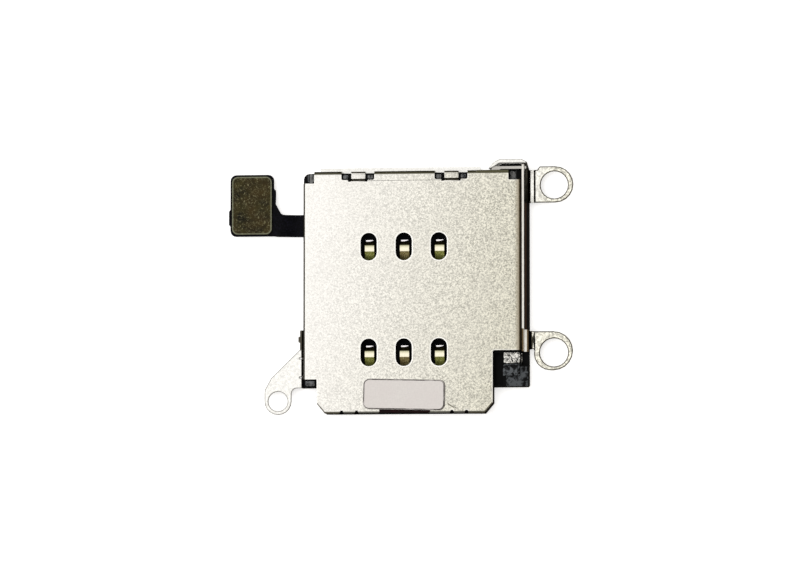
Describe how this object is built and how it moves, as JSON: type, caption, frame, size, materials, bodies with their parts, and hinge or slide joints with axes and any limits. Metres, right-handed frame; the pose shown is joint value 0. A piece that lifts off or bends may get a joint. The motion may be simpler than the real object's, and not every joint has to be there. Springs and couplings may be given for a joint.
{
  "type": "sim card socket",
  "caption": "Thin metal-covered card socket with spring contacts, a side push-rod ejector, joggled screw ears and a short film circuit ending in a board plug.",
  "frame": {"origin": "centre of the contact field, on the bracket's underside, the plane that the socket rests on", "axes": "+X across the card towards the push rod, +Y the way the card goes in, +Z from the bracket to the cover"},
  "size_m": [0.025, 0.0182, 0.0016],
  "materials": {
    "cover_steel": "satin nickel-plated steel, warm off-white",
    "bracket_steel": "bright nickel-plated steel",
    "black_plastic": "black glass-filled moulding",
    "lever_steel": "satin steel",
    "pin_steel": "turned steel",
    "rod_steel": "bright sheared steel strip",
    "switch_plate": "gold-plated copper alloy",
    "tinned_terminal": "tinned copper alloy with a rough solder skin",
    "black_film": "black film with a faint sheen",
    "olive_plate": "mottled dark olive-brown",
    "plug_plastic": "black insulator",
    "pad_cloth": "light pinkish-grey adhesive pad",
    "gold_plate": "gold-plated spring copper alloy",
    "plug_terminal": "gold-plated copper alloy",
    "plug_clip": "gold-plated copper alloy"
  },
  "bodies": {
    "socket": {"cover_shell": "cover_steel", "base_bracket": "bracket_steel", "housing": "black_plastic", "lever_pin": "pin_steel", "switch_terminal": "tinned_terminal", "flex_circuit": "black_film", "stiffener": "olive_plate", "connector_housing": "plug_plastic", "adhesive_pad": "pad_cloth", "connector_terminal_1": "plug_terminal", "connector_terminal_2": "plug_terminal", "connector_terminal_3": "plug_terminal", "connector_terminal_4": "plug_terminal", "connector_terminal_5": "plug_terminal", "connector_terminal_6": "plug_terminal", "connector_terminal_7": "plug_terminal", "connector_terminal_8": "plug_terminal", "connector_holddown_1": "plug_clip", "connector_holddown_2": "plug_clip"},
    "push_rod": {"push_rod": "rod_steel"},
    "ejector_lever": {"ejector_lever": "lever_steel"},
    "switch_spring": {"switch_spring": "switch_plate"},
    "contact_1": {"contact_1": "gold_plate"},
    "contact_2": {"contact_2": "gold_plate"},
    "contact_3": {"contact_3": "gold_plate"},
    "contact_4": {"contact_4": "gold_plate"},
    "contact_5": {"contact_5": "gold_plate"},
    "contact_6": {"contact_6": "gold_plate"}
  },
  "joints": [
    {"name": "rod_slide", "type": "slide", "parent": "socket", "child": "push_rod", "axis": [0, 1, 0], "range_m": [-0.0008, 0]},
    {"name": "lever_turn", "type": "hinge", "parent": "socket", "child": "ejector_lever", "pos_m": [0.00618, 0.0082, 0.00081], "axis": [0, 0, 1], "range_deg": [-19.1, 0]},
    {"name": "switch_bend", "type": "hinge", "parent": "socket", "child": "switch_spring", "pos_m": [0.0064, -0.0009, 0.00081], "axis": [0, 0, 1], "range_deg": [0, 5], "stiffness_Nm_per_rad": 0.0015},
    {"name": "contact_1_bend", "type": "hinge", "parent": "socket", "child": "contact_1", "pos_m": [-0.00254, 0.00201, 0.00038], "axis": [1, 0, 0], "range_deg": [-12, 0], "stiffness_Nm_per_rad": 0.0019},
    {"name": "contact_2_bend", "type": "hinge", "parent": "socket", "child": "contact_2", "pos_m": [0, 0.00201, 0.00038], "axis": [1, 0, 0], "range_deg": [-12, 0], "stiffness_Nm_per_rad": 0.0019},
    {"name": "contact_3_bend", "type": "hinge", "parent": "socket", "child": "contact_3", "pos_m": [0.00254, 0.00201, 0.00038], "axis": [1, 0, 0], "range_deg": [-12, 0], "stiffness_Nm_per_rad": 0.0019},
    {"name": "contact_4_bend", "type": "hinge", "parent": "socket", "child": "contact_4", "pos_m": [-0.00254, -0.00561, 0.00038], "axis": [1, 0, 0], "range_deg": [-12, 0], "stiffness_Nm_per_rad": 0.0019},
    {"name": "contact_5_bend", "type": "hinge", "parent": "socket", "child": "contact_5", "pos_m": [0, -0.00561, 0.00038], "axis": [1, 0, 0], "range_deg": [-12, 0], "stiffness_Nm_per_rad": 0.0019},
    {"name": "contact_6_bend", "type": "hinge", "parent": "socket", "child": "contact_6", "pos_m": [0.00254, -0.00561, 0.00038], "axis": [1, 0, 0], "range_deg": [-12, 0], "stiffness_Nm_per_rad": 0.0019}
  ],
  "couplings": [
    {"joint": "lever_turn", "follows": "rod_slide", "rad_per_m": 416.67}
  ]
}
